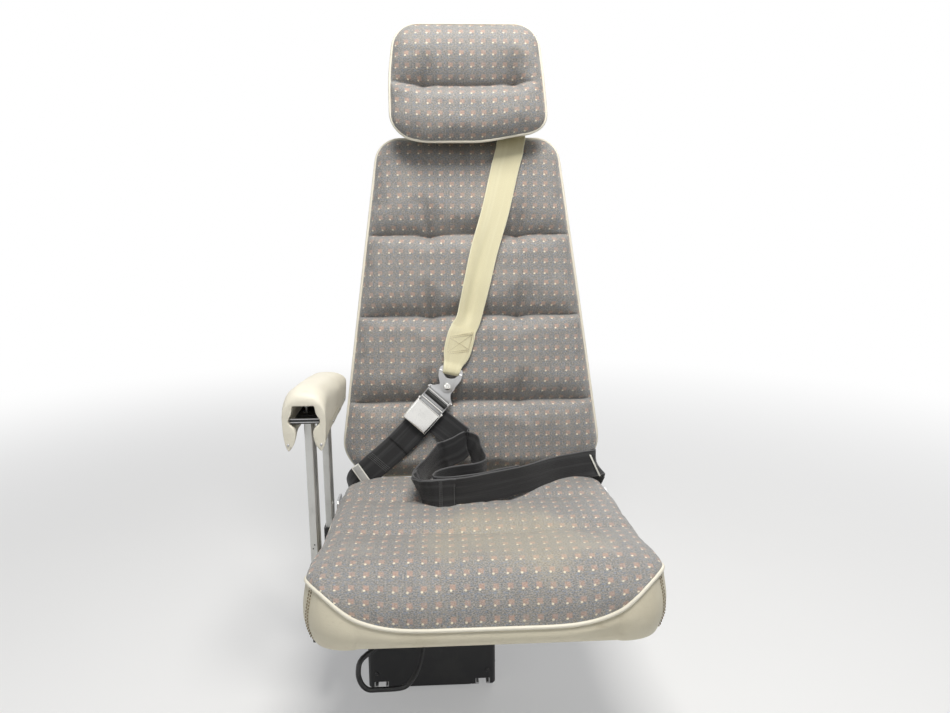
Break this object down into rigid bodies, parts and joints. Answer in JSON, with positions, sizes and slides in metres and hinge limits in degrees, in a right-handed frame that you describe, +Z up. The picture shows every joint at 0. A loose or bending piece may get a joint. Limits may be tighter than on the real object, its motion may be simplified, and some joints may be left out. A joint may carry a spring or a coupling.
{
  "type": "aircraft passenger seat",
  "caption": "Padded high-back seat on a black box pedestal, with adjustable headrest, one side armrest, lap belt, shoulder strap and lift-lever buckle",
  "frame": {"origin": "middle of the pedestal's base plate, on its underside, which is on the floor", "axes": "+Z up, +Y towards the seat's rear, +X to the right of somebody who faces the seat"},
  "size_m": [0.5082, 0.5744, 1.0491],
  "materials": {
    "fabric_grey": "woven, matt",
    "vinyl_cream": "satin vinyl",
    "aluminium": "natural, drawn",
    "steel": "plated, satin",
    "chrome": "bright",
    "black_paint": "black, satin",
    "webbing_black": "woven webbing",
    "webbing_cream": "woven webbing"
  },
  "bodies": {
    "seat_base": {"pedestal_shell": "black_paint", "base_plate": "black_paint", "track_shoe_left": "steel", "track_shoe_right": "steel", "shaft_bracket": "steel", "lock_bridge": "steel", "tube_saddle_front": "black_paint", "tube_saddle_rear": "black_paint", "cross_tube_front": "aluminium", "cross_tube_rear": "aluminium", "seat_pan": "aluminium", "seat_cushion": "fabric_grey", "hinge_bracket_left": "steel", "hinge_bracket_right": "steel", "recline_pivot_left": "steel", "recline_pivot_right": "steel", "belt_anchor_left": "steel", "belt_anchor_right": "steel", "lap_belt_right": "webbing_black", "lap_belt_tail": "webbing_black", "strut_cylinder": "steel", "strut_bracket": "steel", "armrest_sleeve_front": "black_paint", "armrest_sleeve_rear": "black_paint", "armrest_bracket": "black_paint"},
    "backrest": {"back_frame": "aluminium", "back_cross_tube": "aluminium", "back_arm_left": "steel", "back_arm_right": "steel", "back_shell": "vinyl_cream", "back_cushion": "fabric_grey", "post_guide_left": "steel", "post_guide_right": "steel", "shoulder_strap": "webbing_cream", "strap_anchor": "steel", "strap_fitting": "steel", "buckle_body": "steel", "buckle_tongue": "steel", "lap_belt_left": "webbing_black", "strut_lug": "steel"},
    "headrest": {"headrest_pad": "fabric_grey", "headrest_backing": "vinyl_cream", "headrest_post_left": "chrome", "headrest_post_right": "chrome"},
    "armrest": {"armrest_pad": "vinyl_cream", "armrest_tie_plate": "aluminium", "upright_front": "aluminium", "upright_rear": "aluminium"},
    "armrest_finger_plate": {"armrest_release": "aluminium"},
    "armrest_rod": {"armrest_pull_rod": "steel"},
    "buckle_cover": {"buckle_lever": "chrome"},
    "handle": {"release_handle": "black_paint", "handle_shaft": "steel"},
    "track_lock": {"lock_yoke": "steel", "lock_spring_left": "steel", "lock_spring_right": "steel"},
    "recline_rod": {"strut_rod": "chrome"}
  },
  "joints": [
    {"name": "recline", "type": "hinge", "parent": "seat_base", "child": "backrest", "pos_m": [0.076, 0.082, 0.248], "axis": [-1, 0, 0], "range_deg": [0, 22]},
    {"name": "headrest_height", "type": "slide", "parent": "backrest", "child": "headrest", "axis": [0, 0.1392, 0.9903], "range_m": [0, 0.06]},
    {"name": "armrest_height", "type": "slide", "parent": "seat_base", "child": "armrest", "axis": [0, 0, 1], "range_m": [-0.09, 0]},
    {"name": "armrest_catch", "type": "hinge", "parent": "armrest", "child": "armrest_finger_plate", "pos_m": [-0.169, -0.1, 0.4725], "axis": [-1, 0, 0], "range_deg": [0, 8], "stiffness_Nm_per_rad": 0.4, "springref_deg": -11.46},
    {"name": "armrest_rod_slide", "type": "slide", "parent": "armrest", "child": "armrest_rod", "axis": [0, 0, 1], "range_m": [0, 0.0072]},
    {"name": "buckle_lift", "type": "hinge", "parent": "backrest", "child": "buckle_cover", "pos_m": [0.00406, 0.04699, 0.4214], "axis": [-0.7431, 0.0931, 0.6626], "range_deg": [0, 70], "stiffness_Nm_per_rad": 0.02, "springref_deg": -28.65},
    {"name": "handle_lift", "type": "hinge", "parent": "seat_base", "child": "handle", "pos_m": [-0.04, 0.03, 0.11], "axis": [-1, 0, 0], "range_deg": [0, 10], "stiffness_Nm_per_rad": 1, "springref_deg": -5.73},
    {"name": "track_lock_slide", "type": "slide", "parent": "seat_base", "child": "track_lock", "axis": [0, 0, 1], "range_m": [0, 0.0142], "stiffness_N_per_m": 500, "springref_m": -0.01, "deforming": ["lock_spring_left", "lock_spring_right"]},
    {"name": "recline_rod_slide", "type": "slide", "parent": "seat_base", "child": "recline_rod", "axis": [0, -1, 0], "range_m": [0, 0.0326]}
  ],
  "couplings": [
    {"joint": "armrest_rod_slide", "follows": "armrest_catch", "m_per_rad": 0.051},
    {"joint": "track_lock_slide", "follows": "handle_lift", "m_per_rad": 0.08},
    {"joint": "recline_rod_slide", "follows": "recline", "m_per_rad": 0.08448}
  ]
}
